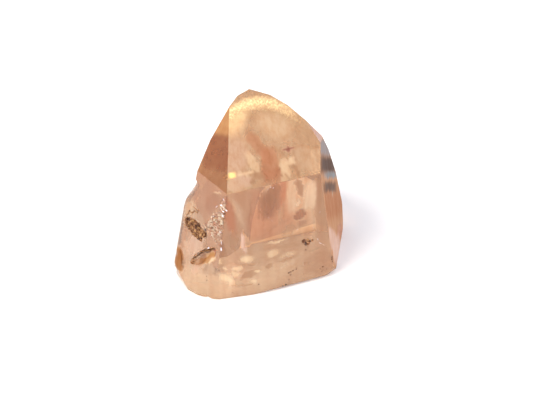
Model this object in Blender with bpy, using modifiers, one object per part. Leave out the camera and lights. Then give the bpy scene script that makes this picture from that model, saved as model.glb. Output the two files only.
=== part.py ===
"""Lemurian quartz point: one natural crystal standing on its broken foot, and the
brown iron crust lodged in a pit on its left side.

Metres, +Z up. The foot stands on z = 0, and the big sloping tip face looks towards -Y.
A quartz crystal is a six-sided prism capped by six sloping faces, so its shape is cut
from one block with flat cuts. Each cut is written as the compass direction that it
faces (0 is -Y, 90 is +X), its tilt above the horizontal, and its distance from the
crystal's own centre line at the foot.
"""

import math
import random

import bmesh
import bpy
from mathutils import Matrix, Vector, noise

MM = 0.001

# Driving dimensions, in millimetres and degrees.
AXIS_AT = (-0.55, 3.61)      # where the crystal's centre line stands
FIRST_SIDE = 20.0            # compass direction of the widest prism face
SIXTH = 60.0                 # prism faces are a sixth of a turn apart
TIP_TILT = 38.2              # quartz's tip faces lean this far above the horizontal
BLOCK = 120.0                # the rough block that the faces are cut from
SPARE_FOOT = 6.0             # length below the foot, until the foot is broken off
WORN_EDGE = 0.2              # how far the crystal's edges are worn round
SWELLING_EDGE = 1.1          # the same on the smooth swelling
GAP = 0.3                    # clearance between the crust and its pit
GAP_SLANT = 1.25             # the gap is taken towards the middle, so it is drawn in more
CRUST_TOP = 0.1              # how far the crust stands out of the face
CRUST_GRAIN = 0.16           # how rough its top is

# Prism faces: sixths of a turn from the first side, tilt, distance.
PRISM_FACES = {
    "front": (0, 2.0, 17.9),
    "right": (1, 8.0, 17.8),
    "right_back": (2, 8.0, 15.2),
    "back": (3, 11.0, 9.72),
    "left_front": (-1, 5.0, 21.1),
}

# Sides that grew crooked, cut one by one: direction, tilt, distance.
CROOKED_SIDES = {
    "right_rear_high": (114.0, 22.2, 20.1),
    "right_rear": (114.3, 15.9, 18.95),
    "right_rear_low": (112.0, -5.0, 17.85),
    "left_rear": (-115.4, 11.4, 9.15),
    "corner_facet": (11.1, -0.7, 18.24),
}

# Tip faces, and the worn ridge behind the highest point.
TIP_FACES = {
    "main": (FIRST_SIDE, TIP_TILT, 30.2),
    "left": (-32.2, 36.4, 32.15),
    "right": (82.0, 39.0, 30.2),
    "back": (FIRST_SIDE + 180, TIP_TILT, 21.6),
    "right_back": (132.7, 33.4, 20.55),
    "right_ridge": (148.1, 34.4, 19.15),
    "top_ridge": (168.8, 34.2, 17.65),
    "top": (-142.9, 23.2, 12.2),
    "left_ridge": (-122.4, 15.9, 9.95),
    "left_back": (-120.5, 22.2, 14.65),
}

# Chips broken from the rim of the foot.
FOOT_CHIPS = {
    "right": (70.0, -8.0, 19.3),
    "right_front": (46.0, -25.0, 17.6),
    "front": (20.5, -38.0, 13.6),
    "front_left": (13.8, -32.0, 15.8),
    "corner": (-4.9, -24.0, 18.9),
    "corner_left": (-19.3, -22.0, 20.2),
    "left_front": (-36.5, -20.0, 21.0),
    "left": (-60.0, -14.0, 20.3),
    "left_rear": (-112.0, -24.0, 9.6),
    "back": (196.0, -28.0, 8.4),
    "right_rear": (128.0, -30.0, 13.2),
}

# The smooth swelling low on the left: its own cuts, before it is joined to the crystal.
SWELLING = {
    "face": (-36.0, 9.0, 22.4),
    "shoulder": (-124.4, 27.2, 13.2),
    "side": (-116.0, 14.5, 11.9),
    "lower_side": (-113.4, 8.6, 11.0),
    "roof": (-40.0, 42.0, 31.2),
    "inner": (50.0, 0.0, 4.6),
    "rear": (-165.0, 30.0, 5.0),
}

# Pits and chips in the surface: the face that they are in, their centre, their radii
# along, across and into that face, and how far they are turned in it.
LUMP_GRAIN = 1.7             # lumps per radius on a broken hollow
PIT_SEED = 3
PIT_ROUGHNESS = 0.3
SCOOP_ROUGHNESS = 0.12
IRON_PIT = ((-37.0, 8.0), (-12.0, -16.1, 15.6), (2.9, 1.75, 1.5), -28.0)
HOLLOWS = {
    "under_swelling": ((-37.0, 8.0), (-10.5, -17.9, 10.0), (4.7, 1.35, 0.95), 47.0),
    "shell_chip": ((20.0, 2.0), (11.3, -15.2, 9.6), (3.1, 2.3, 0.75), 0.0),
    "small_pit": ((20.0, 2.0), (9.9, -15.0, 11.0), (0.55, 1.0, 0.8), 12.0),
    "pin_pit": ((20.0, 2.0), (10.8, -14.7, 11.1), (0.28, 0.4, 0.4), 0.0),
    "rim_chip": ((20.0, 2.0), (2.6, -18.3, 0.4), (1.6, 0.7, 0.5), 0.0),
    "left_rim_chip": ((-60.0, 0.0), (-17.6, -11.8, 0.8), (2.1, 1.3, 0.7), 15.0),
}

# Small growth ledges: face, centre, length, height, depth, turn in the face.
LEDGES = {
    "step_a": ((-40.0, 5.0), (-6.1, -19.9, 24.0), 2.2, 0.8, 0.28, -27.0),
    "step_b": ((-40.0, 5.0), (-6.3, -19.8, 22.7), 1.8, 0.7, 0.25, -30.0),
    "step_c": ((-40.0, 5.0), (-6.4, -19.9, 21.3), 1.5, 0.6, 0.22, -24.0),
    "step_d": ((-40.0, 5.0), (-7.5, -19.2, 19.9), 2.2, 0.8, 0.30, -32.0),
    "step_e": ((-40.0, 5.0), (-8.6, -18.5, 17.6), 2.0, 0.9, 0.30, 36.0),
    "step_f": ((-40.0, 5.0), (-6.9, -20.0, 17.6), 1.6, 0.8, 0.25, -26.0),
    "over_pit": ((-37.0, 8.0), (-12.4, -15.4, 20.0), 2.6, 0.9, 0.35, -20.0),
}

# The ladder of fine cross steps on the side away from the main face.
LADDER_SIDES = {
    "right_back": (13.5, 22.0),
}
LADDER_FROM = 3.2
LADDER_PITCH = 1.35
LADDER_HEIGHT = 0.8
LADDER_DEPTH = 0.12
LADDER_SEED = 7


def clear_scene():
    for old in list(bpy.data.objects):
        bpy.data.objects.remove(old, do_unlink=True)


def collection(name, hidden=False):
    made = bpy.data.collections.new(name)
    made.hide_render = hidden
    bpy.context.scene.collection.children.link(made)
    return made


def material(name, color, roughness, transmission=0.0, ior=1.5):
    made = bpy.data.materials.new(name)
    made.use_nodes = True
    made.diffuse_color = (*color, 1.0)
    shader = made.node_tree.nodes["Principled BSDF"]
    shader.inputs["Base Color"].default_value = (*color, 1.0)
    shader.inputs["Roughness"].default_value = roughness
    shader.inputs["Metallic"].default_value = 0.0
    shader.inputs["Transmission Weight"].default_value = transmission
    shader.inputs["IOR"].default_value = ior
    return made


def direction(azimuth, tilt):
    """The unit vector that a cut faces."""
    turn, lean = math.radians(azimuth), math.radians(tilt)
    return Vector((
        math.sin(turn) * math.cos(lean),
        -math.cos(turn) * math.cos(lean),
        math.sin(lean),
    ))


def slice_off(mesh, azimuth, tilt, distance):
    """Remove what lies past one flat cut, and close the cut with one face."""
    away = direction(azimuth, tilt)
    cut = bmesh.ops.bisect_plane(
        mesh,
        geom=mesh.verts[:] + mesh.edges[:] + mesh.faces[:],
        dist=1e-7,
        plane_co=away * distance * MM,
        plane_no=away,
        clear_outer=True,
    )
    loop = [item for item in cut["geom_cut"] if isinstance(item, bmesh.types.BMEdge)]
    bmesh.ops.edgeloop_fill(mesh, edges=loop)


def new_object(mesh, name, home, axis):
    """A mesh as an object that stands on the crystal's centre line."""
    mesh.normal_update()
    bmesh.ops.recalc_face_normals(mesh, faces=mesh.faces[:])
    data = bpy.data.meshes.new(name)
    mesh.to_mesh(data)
    mesh.free()
    made = bpy.data.objects.new(name, data)
    home.objects.link(made)
    made.parent = axis
    if home.hide_render:
        made.hide_render = True
        made.display_type = "WIRE"
    return made


def faceted(cuts, spare_foot):
    """A rough block that reaches below the foot, with each cut made in turn."""
    mesh = bmesh.new()
    stand = Matrix.Translation((0, 0, (BLOCK / 2 - spare_foot) * MM))
    bmesh.ops.create_cube(mesh, size=BLOCK * MM, matrix=stand)
    for cut in cuts:
        slice_off(mesh, *cut)
    return mesh


def wear_edges(item, width, segments):
    worn = item.modifiers.new("worn_edges", "BEVEL")
    worn.width = width * MM
    worn.segments = segments
    worn.limit_method = "ANGLE"
    worn.angle_limit = math.radians(12)
    worn.use_clamp_overlap = True


def join(item, other):
    joined = item.modifiers.new("join_" + other.name, "BOOLEAN")
    joined.operation = "UNION"
    joined.object = other


def cut_out(item, other):
    cut = item.modifiers.new("cut_" + other.name, "BOOLEAN")
    cut.operation = "DIFFERENCE"
    cut.use_self = True
    cut.object = other


def on_face(face, place, turn):
    """A frame on a face: x along it, y up it, z out of it, turned by an angle."""
    out = direction(*face)
    along = Vector((0, 0, 1)).cross(out).normalized()
    frame = Matrix((along, out.cross(along), out)).transposed().to_4x4()
    spot = Matrix.Translation(Vector(place) * MM)
    return spot @ frame @ Matrix.Rotation(math.radians(turn), 4, "Z")


def lumpy(way, seed, strength):
    """A smooth random factor near 1 for one direction from a lump's middle."""
    return 1 + strength * noise.noise(way * LUMP_GRAIN + Vector((seed, 2.0 * seed, 0)))


def hollow(face, place, radii, turn, seed, roughness, fineness):
    """A lumpy rounded cutter, centred in the face."""
    mesh = bmesh.new()
    bmesh.ops.create_icosphere(mesh, subdivisions=fineness, radius=1.0)
    size = Vector(radii) * MM
    frame = on_face(face, place, turn)
    for vert in mesh.verts:
        way = vert.co.normalized()
        vert.co = frame @ (way * size * lumpy(way, seed, roughness))
    return mesh


def ledge(mesh, face, place, length, height, depth, turn):
    """A leaning bar: it cuts a sharp step on its upper side and slopes out below."""
    reach = 3.0
    lean = math.asin(min(depth / height, 0.9))
    bar = (
        on_face(face, place, turn)
        @ Matrix.Translation((0, 0, -depth / 2 * MM))
        @ Matrix.Rotation(-lean, 4, "X")
        @ Matrix.Translation((0, 0, reach / 2 * MM))
        @ Matrix.Diagonal((length * MM, height * MM, reach * MM, 1.0))
    )
    bmesh.ops.create_cube(mesh, size=1.0, matrix=bar)


def ladder(side_cuts):
    """Cross steps up each side in LADDER_SIDES, at an uneven pitch."""
    chance = random.Random(LADDER_SEED)
    mesh = bmesh.new()
    for name, (top, width) in LADDER_SIDES.items():
        azimuth, tilt, distance = side_cuts[name]
        height = LADDER_FROM
        while height < top:
            out = direction(azimuth, tilt)
            flat = Vector((out.x, out.y, 0)).normalized()
            reach = (distance - height * out.z) / out.xy.length
            drift = chance.uniform(-2.0, 2.0)
            along = Vector((0, 0, 1)).cross(flat) * drift
            place = flat * reach + along + Vector((0, 0, height))
            depth = LADDER_DEPTH * chance.uniform(0.7, 1.3)
            length = width * chance.uniform(0.75, 1.0)
            ledge(mesh, (azimuth, tilt), place, length, LADDER_HEIGHT, depth, 0.0)
            height += LADDER_PITCH * chance.uniform(0.7, 1.4)
    return mesh


def grow(helpers, axis, sides):
    """The crystal and its swelling joined in one mesh, then broken off at the foot."""
    cuts = [*sides.values(), *TIP_FACES.values()]
    point = new_object(faceted(cuts, SPARE_FOOT), "point", helpers, axis)
    wear_edges(point, WORN_EDGE, 1)
    rough = faceted(SWELLING.values(), SPARE_FOOT / 2)
    swelling = new_object(rough, "swelling", helpers, axis)
    wear_edges(swelling, SWELLING_EDGE, 3)
    rungs = new_object(ladder(sides), "ladder", helpers, axis)
    cut_out(point, rungs)
    join(point, swelling)
    bpy.context.view_layer.update()
    mesh = bmesh.new()
    mesh.from_object(point, bpy.context.evaluated_depsgraph_get())
    slice_off(mesh, 0.0, -90.0, 0.0)
    for cut in FOOT_CHIPS.values():
        slice_off(mesh, *cut)
    for helper in (point, swelling, rungs):
        bpy.data.objects.remove(helper, do_unlink=True)
    return mesh


def make_crystal(parts, cutters, axis):
    sides = {
        name: (FIRST_SIDE + SIXTH * turn, tilt, distance)
        for name, (turn, tilt, distance) in PRISM_FACES.items()
    }
    sides.update(CROOKED_SIDES)
    crystal = new_object(grow(cutters, axis, sides), "quartz_point", parts, axis)

    steps = bmesh.new()
    for values in LEDGES.values():
        ledge(steps, *values)
    cut_out(crystal, new_object(steps, "ledges", cutters, axis))

    pit = hollow(*IRON_PIT, PIT_SEED, PIT_ROUGHNESS, fineness=3)
    cut_out(crystal, new_object(pit, "iron_pit", cutters, axis))
    for number, (name, values) in enumerate(HOLLOWS.items()):
        scoop = hollow(*values, 11 + number, SCOOP_ROUGHNESS, fineness=2)
        cut_out(crystal, new_object(scoop, name, cutters, axis))

    crystal.data.materials.append(
        material("clear_peach_quartz", (0.80, 0.60, 0.47), 0.03, 1.0, 1.544)
    )
    return crystal


def make_crust(parts, axis):
    """The iron crust: the pit's own shape drawn in by the gap, with a rough top."""
    face, place, radii, turn = IRON_PIT
    frame = on_face(face, place, turn)
    size = Vector(radii)
    mesh = bmesh.new()
    bmesh.ops.create_icosphere(mesh, subdivisions=4, radius=1.0)
    for vert in mesh.verts:
        way = vert.co.normalized()
        wall = way * size * lumpy(way, PIT_SEED, PIT_ROUGHNESS)
        inside = wall * (1 - GAP * GAP_SLANT / wall.length)
        grain = CRUST_GRAIN * (noise.noise(way * 5.3) + 0.6 * noise.noise(way * 11.0))
        inside.z = min(inside.z, CRUST_TOP + grain)
        vert.co = frame @ (inside * MM)
    crust = new_object(mesh, "iron_crust", parts, axis)
    crust.data.materials.append(
        material("iron_stained_crust", (0.16, 0.075, 0.03), 0.8)
    )
    return crust


def main():
    clear_scene()
    parts = collection("lemurian_quartz")
    cutters = collection("cutters", hidden=True)
    axis = bpy.data.objects.new("centre_line", None)
    axis.location = (AXIS_AT[0] * MM, AXIS_AT[1] * MM, 0)
    parts.objects.link(axis)
    make_crystal(parts, cutters, axis)
    make_crust(parts, axis)


main()
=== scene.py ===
# %% [markdown]
# # A lemurian quartz point
# One natural quartz crystal stands on its broken foot: a six-sided prism, a sloping
# tip, a smooth swelling low on the left, and a brown iron crust in a pit. The CAD model
# gives the true shape and size. This lesson turns it into clear peach quartz: the glass
# itself, the stains in it, the crust, the small things on it, and the light.
#
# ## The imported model
# The CAD nodes arrive as Blender objects in metres. They are never moved, and every new
# piece is placed from them, so looks and solids always agree.

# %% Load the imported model
import math
import random

import bmesh
import bpy
import numpy
from mathutils import Matrix, Vector, noise


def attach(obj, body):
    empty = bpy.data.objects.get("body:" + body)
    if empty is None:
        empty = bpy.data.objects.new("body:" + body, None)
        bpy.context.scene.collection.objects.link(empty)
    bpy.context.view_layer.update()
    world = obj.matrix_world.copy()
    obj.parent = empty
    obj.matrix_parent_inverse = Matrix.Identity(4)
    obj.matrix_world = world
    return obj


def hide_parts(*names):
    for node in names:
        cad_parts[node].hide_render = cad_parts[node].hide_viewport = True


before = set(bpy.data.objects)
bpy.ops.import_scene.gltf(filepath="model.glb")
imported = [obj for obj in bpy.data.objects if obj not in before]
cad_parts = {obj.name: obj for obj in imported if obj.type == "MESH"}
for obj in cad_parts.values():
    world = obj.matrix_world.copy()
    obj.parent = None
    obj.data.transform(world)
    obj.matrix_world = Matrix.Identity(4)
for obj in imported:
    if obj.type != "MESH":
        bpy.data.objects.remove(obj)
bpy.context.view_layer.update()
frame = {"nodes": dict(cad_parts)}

MM = 0.001
print("CAD nodes:", ", ".join(frame["nodes"]))

# %% [markdown]
# ## Camera
# The crystal is seen from above its front, looking 40 degrees down at it from 200 mm
# away. A long lens keeps its upright edges nearly parallel. The camera could be turned
# by hand, but written angles give the same frame every time.

# %% The camera
LOOK_DOWN = math.radians(40)
LOOK_AT = Vector((1.25, 3.61, 9.2)) * MM
LOOK_FROM = 200 * MM
LENS = 64.03
SENSOR = 36

camera = bpy.data.objects.new("camera", bpy.data.cameras.new("camera"))
bpy.context.scene.collection.objects.link(camera)
camera.data.sensor_width = SENSOR
camera.data.lens = LENS
camera.data.clip_start = 5 * MM
back = Vector((0, -math.cos(LOOK_DOWN), math.sin(LOOK_DOWN)))
camera.location = LOOK_AT + back * LOOK_FROM
camera.rotation_euler = (math.radians(90) - LOOK_DOWN, 0, 0)
bpy.context.scene.camera = camera
print("camera at, mm:", [round(part / MM, 1) for part in camera.location])

# %% [markdown]
# ## Small helpers
# Colours are picked as sRGB hex values, as in any paint program, but Blender's shaders
# work in linear light, so one function turns one into the other. A second adds a
# shader node with its settings and its links in one go, which keeps each material
# short enough to read. Where a node has several sockets of one name, the socket's
# number is used: a Mix node mixes colours 6 and 7 by factor 0 and gives colour 2.
# A noise is scaled by how many of its grains fit in a metre, so a third function
# works that out from the size of one grain in millimetres.


# %% Colour and node helpers
def linear(hex_colour):
    parts = [int(hex_colour[at:at + 2], 16) / 255 for at in (0, 2, 4)]
    curved = [p / 12.92 if p <= 0.04045 else ((p + 0.055) / 1.055) ** 2.4 for p in parts]
    return (*curved, 1.0)


def grains_of(size):
    return 1 / (size * MM)


def add(tree, kind, inputs=None, stops=(), **settings):
    """One node. Settings are its own properties, stops are the places and colours along
    a colour ramp, and inputs are plain values or the sockets that feed it."""
    node = tree.nodes.new(kind)
    for name, value in settings.items():
        setattr(node, name, value)
    for number, (position, colour) in enumerate(stops):
        along = node.color_ramp.elements
        stop = along[number] if number < 2 else along.new(position)
        stop.position = position
        stop.color = linear(colour)
    for name, value in (inputs or {}).items():
        if isinstance(value, bpy.types.NodeSocket):
            tree.links.new(value, node.inputs[name])
        else:
            node.inputs[name].default_value = value
    return node


def new_material(name):
    made = bpy.data.materials.new(name)
    made.use_nodes = True
    return made, made.node_tree, made.node_tree.nodes["Principled BSDF"]


print("peach in linear light:", [round(part, 3) for part in linear("E5B38D")])

# %% [markdown]
# ## Floor and light
# A studio for stones is plain: a pale floor and large soft lights, so that the facets
# show as broad even tones. Quartz shows what surrounds it, so an even pale world does
# most of the work. A picture of a real studio could light it too, but it would put its
# own windows into every facet.

# %% The floor and the pale world
FLOOR_SIZE = 4
FLOOR_GAP = 0.1 * MM         # the floor lies this far below the foot
SKY_STRENGTH = 0.85

bpy.ops.object.select_all(action="DESELECT")
bpy.ops.mesh.primitive_plane_add(size=FLOOR_SIZE)
floor = bpy.context.object
floor.name = "studio_floor"
floor.location.z = -FLOOR_GAP
floor_paint, tree, shader = new_material("matt_white_paint")
roller = add(tree, "ShaderNodeTexNoise", {"Scale": grains_of(1.11), "Detail": 2.0})
whiteness = add(tree, "ShaderNodeMapRange", {
    "Value": roller.outputs["Fac"], "To Min": 0.86, "To Max": 0.9})
tree.links.new(whiteness.outputs[0], shader.inputs["Base Color"])
shader.inputs["Roughness"].default_value = 0.7
floor.data.materials.append(floor_paint)

world = bpy.data.worlds.new("pale_studio")
world.use_nodes = True
bpy.context.scene.world = world
sky = world.node_tree.nodes["Background"]
sky.inputs["Color"].default_value = linear("FBFBFF")
sky.inputs["Strength"].default_value = SKY_STRENGTH
print("floor, metres wide:", FLOOR_SIZE)

# %% [markdown]
# One softbox high on the left gives the front faces their shine, and a weaker, cooler
# one on the right gives the side faces a faint lavender sheen. They are round, because
# the corner of a square one would show as a white triangle in a facet.


# %% The softboxes
def softbox(name, place, size, power, colour):
    lamp = bpy.data.lights.new(name, "AREA")
    lamp.shape = "DISK"
    lamp.size = size
    lamp.energy = power
    lamp.color = linear(colour)[:3]
    box = bpy.data.objects.new(name, lamp)
    bpy.context.scene.collection.objects.link(box)
    box.location = place
    aim = Vector((0, 0, 0.02)) - Vector(place)
    box.rotation_euler = aim.to_track_quat("-Z", "Y").to_euler()
    return box


softbox("key_softbox", (-0.45, -0.30, 0.60), 0.52, 7.0, "FFF6EA")
softbox("side_softbox", (0.60, -0.10, 0.35), 0.45, 2.2, "E9ECFF")

# %% [markdown]
# Light crosses a clear crystal many times, bouncing off the inside of its faces before
# it comes out. Blender stops following a ray after 12 bounces, which would leave black
# patches, so it is allowed more. The standard view keeps the colours as they are mixed.

# %% Light paths and view
scene = bpy.context.scene
scene.view_settings.view_transform = "Standard"
scene.cycles.max_bounces = 40
scene.cycles.glossy_bounces = 32
scene.cycles.transmission_bounces = 32
scene.cycles.transparent_max_bounces = 48
scene.cycles.sampling_pattern = "TABULATED_SOBOL"
print("bounces allowed:", scene.cycles.max_bounces)

# %% [markdown]
# ## The crystal's own mesh
# The glass is a copy of the CAD solid, so every facet is where it grew. It could be cut
# again from a block here, but then two shapes would have to be kept the same. The CAD
# mesh is loose triangles, so the copy is merged first and its flat faces are made whole.
# Smooth shading below 18 degrees rounds the worn edges but keeps the facets.

# %% Copy and merge the solid
SMOOTH_BELOW = math.radians(18)
ONE_FACE_BELOW = math.radians(0.4)
SAME_POINT = 0.001 * MM

bpy.ops.object.select_all(action="DESELECT")
cad_point = frame["nodes"]["quartz_point"]
cad_point.select_set(True)
bpy.context.view_layer.objects.active = cad_point
bpy.ops.object.duplicate()
quartz = bpy.context.object
quartz.name = "clear_quartz"
for mark in list(quartz.keys()):
    del quartz[mark]

bpy.ops.object.mode_set(mode="EDIT")
bpy.ops.mesh.select_all(action="SELECT")
bpy.ops.mesh.remove_doubles(threshold=SAME_POINT)
bpy.ops.mesh.dissolve_limited(angle_limit=ONE_FACE_BELOW)
bpy.ops.mesh.normals_make_consistent(inside=False)
bpy.ops.object.mode_set(mode="OBJECT")
bpy.ops.mesh.customdata_custom_splitnormals_clear()
bpy.ops.object.shade_smooth_by_angle(angle=SMOOTH_BELOW)
print("crystal faces:", len(quartz.data.polygons))

# %% [markdown]
# ## Places on the crystal
# Everything on the crystal is placed from one of its natural faces: so far across it, so
# far up it, and so deep below it, in millimetres. The front faces are measured from the
# corner where they meet, and the right faces from their own top corner. Plain x, y and z
# would do, but a place on a face stays on the face when the numbers are changed.

# %% Faces to measure from
FRONT_CORNER = (-5.98, -16.39, 27.29)
RIGHT_CORNER = (12.83, -9.74, 22.15)
FACES = {  # compass direction, tilt, a point on the face
    "tip": (20.0, 38.2, FRONT_CORNER),
    "front": (20.0, 2.0, FRONT_CORNER),
    "left_tip": (-32.2, 36.4, FRONT_CORNER),
    "left": (-40.0, 5.0, FRONT_CORNER),
    "swelling": (-36.0, 9.0, (-5.40, -15.59, 27.13)),
    "right": (80.0, 8.0, RIGHT_CORNER),
    "right_tip": (82.0, 39.0, RIGHT_CORNER),
}


def facing(azimuth, tilt):
    """Axes whose z looks towards a compass direction and tilt, with y up the slope."""
    turned, leaned = math.radians(azimuth), math.radians(tilt)
    out = Vector((math.sin(turned) * math.cos(leaned),
                  -math.cos(turned) * math.cos(leaned), math.sin(leaned)))
    along = Vector((0, 0, 1)).cross(out).normalized()
    return Matrix((along, out.cross(along), out)).transposed().to_4x4()


def out_of(azimuth, tilt):
    return facing(azimuth, tilt).col[2].xyz


def on_face(name, across, up, depth=0.0):
    azimuth, tilt, corner = FACES[name]
    return Vector(corner) * MM + facing(azimuth, tilt).to_3x3() @ Vector((across, up, -depth)) * MM


print("tip face point:", [round(part / MM, 1) for part in on_face("tip", 8, 7)])

# %% [markdown]
# Colour will be laid on the crystal corner by corner, so its big faces are first sliced
# into cells a third of a millimetre wide, as a loaf is sliced both ways. Subdividing
# would give long thin cells on long faces, and a slice gives even ones. The cells stay
# flat, so the shape is the same as before.

# %% Slice the faces into cells
CELL = 0.36 * MM
FIRST_SLICE = 0.37           # in cells, so that no slice falls on a straight edge

sliced = bmesh.new()
sliced.from_mesh(quartz.data)
for axis in range(3):
    across = Vector([float(axis == other) for other in range(3)])
    turned_away = [face for face in sliced.faces
                   if abs(face.normal[axis]) < max(abs(part) for part in face.normal) - 1e-6]
    geometry = list({item for face in turned_away for item in (*face.verts, *face.edges)})
    geometry += turned_away
    reach = [vert.co[axis] for vert in sliced.verts]
    for number in range(math.ceil(min(reach) / CELL), math.floor(max(reach) / CELL) + 1):
        cut = bmesh.ops.bisect_plane(sliced, geom=geometry, dist=SAME_POINT,
                                     plane_co=across * (number + FIRST_SLICE) * CELL,
                                     plane_no=across)
        geometry = cut["geom"]
bmesh.ops.triangulate(sliced, faces=sliced.faces)
sliced.to_mesh(quartz.data)
sliced.free()
print("cells:", len(quartz.data.polygons))

# %% [markdown]
# The swelling grew over the crystal's left side as a smooth skin, so three places are
# softer than flat cuts can make them: its low join with the front, its left rim, and
# the lower lip of the notch in it. A bevel would need one clean edge, which a lumpy
# surface doesn't have. So the cells near each place are selected, and relaxed until the
# corner between them is round: more passes round it more.

# %% Round the soft places
JOIN_AT, JOIN_REACH, JOIN_PASSES = Vector((-9.8, -16.0, 4.6)), Vector((3.4, 3.0, 4.6)), 120
RIM = (Vector((-12.4, -10.2, 25.2)), Vector((-15.2, -9.9, 18.4)), Vector((-17.6, -10.4, 3.4)))
RIM_REACH, RIM_PASSES = 2.0, 60
LIP = (Vector((-12.9, -13.4, 7.4)), Vector((-11.5, -14.3, 7.9)), Vector((-10.0, -14.9, 9.2)),
       Vector((-8.9, -15.1, 11.2)))
LIP_REACH, LIP_PASSES = 0.9, 25


def in_ball(spot, middle, reach):
    """Whether a spot lies in a ball that reaches differently far along x, y and z."""
    return sum((part / far) ** 2 for part, far in zip(spot - middle, reach)) < 1


def by_line(spot, bends, reach):
    for start, end in zip(bends, bends[1:]):
        share = (spot - start).dot(end - start) / (end - start).length_squared
        if (spot - start.lerp(end, min(max(share, 0), 1))).length < reach:
            return True
    return False


def relax(chosen, passes):
    for vert in quartz.data.vertices:
        vert.select = chosen(vert.co / MM)
    for part in (*quartz.data.edges, *quartz.data.polygons):
        part.select = all(quartz.data.vertices[index].select for index in part.vertices)
    print("cells relaxed:", sum(face.select for face in quartz.data.polygons))
    bpy.ops.object.mode_set(mode="EDIT")
    bpy.ops.mesh.vertices_smooth(factor=0.5, repeat=passes)
    bpy.ops.object.mode_set(mode="OBJECT")


relax(lambda spot: in_ball(spot, JOIN_AT, JOIN_REACH), JOIN_PASSES)
relax(lambda spot: by_line(spot, RIM, RIM_REACH), RIM_PASSES)
relax(lambda spot: by_line(spot, LIP, LIP_REACH), LIP_PASSES)
bpy.ops.object.shade_smooth_by_angle(angle=SMOOTH_BELOW)

# %% [markdown]
# Quartz points are glossy on the faces that grew freely, and frosted where they were
# broken or stepped. Separate materials would do, but one is easier to keep the same. So
# four marks on each cell tell the material how frosted it is, and whether it is on the
# broken foot, on the rear sides or on the big tip face.

# %% Mark the faces
FROST_REAR = 0.7             # the foot has 1
UNDER = -0.25                # a face that looks further down than this is on the foot
BEHIND = 0.2                 # and one that looks further back than this is at the rear
SAME_FACE = 0.99             # how alike two directions on one face are

marks = {name: quartz.data.attributes.new(name, "FLOAT", "FACE")
         for name in ("frost", "foot", "rear", "tip")}
TIP_OUT = out_of(*FACES["tip"][:2])
for face in quartz.data.polygons:
    under = face.normal.z < UNDER
    behind = face.normal.y > BEHIND and not under
    marks["frost"].data[face.index].value = 1.0 if under else FROST_REAR * behind
    marks["foot"].data[face.index].value = float(under)
    marks["rear"].data[face.index].value = float(behind)
    marks["tip"].data[face.index].value = float(face.normal.dot(TIP_OUT) > SAME_FACE)
print("frosted faces:", sum(item.value > 0 for item in marks["frost"].data))

# %% [markdown]
# ## Stains, veils and painted light
# Just below its faces the quartz is stained: amber and brown where iron crept in, cream
# where tiny fluid bubbles make a veil. Some kinds are not stains but painted light and
# shade: painted highlights, glints, sheen, reflections, and painted shade in hollows.
# Clouds in a volume could do it, but they render slowly and come out blurred. So each
# kind is a tone that the glass takes there, and a share of it that is veil, which light
# doesn't cross.

# %% Tones of the faces, kinds of stain and of painted light
FACE_TONES = {  # tone, share of veil
    "tip": ("E8C69C", 0.32),
    "front": ("DCB28A", 0.18),
    "left_tip": ("C6986C", 0.32),
    "left": ("CC9E7A", 0.32),
    "swelling": ("E3C4A4", 0.25),
    "right": ("B68A68", 0.94),
    # The pink in the right tip face's tone is painted lavender sheen.
    "right_tip": ("DDBFB4", 0.50),
}
OTHER_TONE = ("EBCBA6", 0.0)

# Pale tones follow. Some are stains, and some are painted light, as marked below.
BASE = ("FBDAB1", 0.28)      # pale stains
# Painted light: bright patches and highlights laid on as colour.
PAINTED_LIGHT = ("F8DEB4", 0.5)
CREAM = ("DFC29F", 0.40)
# Painted lavender-pink sheen: a reflection of cool light, laid on as colour.
PINK_SHEEN = ("E6C3B0", 0.50)
MILKY = ("D2AE98", 0.6)
# A painted golden glint.
PAINTED_GLINT = ("FFE184", 0.95)
# Painted golden sheen, where the arc throws light back.
GOLDEN_SHEEN = ("F2CE98", 0.75)
TAN = ("B98861", 0.34)       # iron stains, pale to dark
APRICOT = ("CC8A60", 0.42)
# Painted shade, in hollows and along edges, not an iron stain.
SHADE = ("B08560", 0.5)
AMBER = ("BE7850", 0.42)
OCHRE = ("B0814F", 0.85)
BROWN = ("96603E", 0.52)
SIDE = ("A87657", 0.97)
RUST = ("8E4A1E", 0.75)
PATCH = ("8A5832", 0.95)
UMBER = ("8A5A30", 0.97)
MAUVE = ("7E4638", 0.9)
DARK = ("4A200C", 0.97)
# Painted reflections: dark surroundings mirrored in the right face, laid on as grey bands.
GREY_REFLECTION = ("938B88", 1.0)       # smoky bands
BLUE_GREY_REFLECTION = ("878989", 1.0)
DARK_GREY_REFLECTION = ("665750", 1.0)
print("stained faces:", ", ".join(FACE_TONES))

# %% [markdown]
# Each corner of each cell starts with the tone of the face that it is most like. The
# stains will read the corners' places, pushed about by two noises, one slow and one
# fine. That makes their outlines as uneven as real ones and leaves the shape alone.

# %% The bare tone of every corner
WANDER = ((0.45, 0.55), (0.2, 1.7))   # how far, mm, and how many waves per mm
FACE_LIKENESS = 0.975                 # below this a corner is on no face that has a name

SKIN = numpy.empty(len(quartz.data.loops), dtype=numpy.int32)
quartz.data.loops.foreach_get("vertex_index", SKIN)
points = numpy.array([vert.co / MM for vert in quartz.data.vertices])
points += numpy.array([sum((far * noise.noise_vector(Vector(point) * waves)
                            for far, waves in WANDER), Vector((0, 0, 0))) for point in points])
points = points[SKIN]
normals = numpy.array([face.normal for face in quartz.data.polygons])
corners_each = numpy.array([face.loop_total for face in quartz.data.polygons])
normals = numpy.repeat(normals, corners_each, axis=0)

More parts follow.
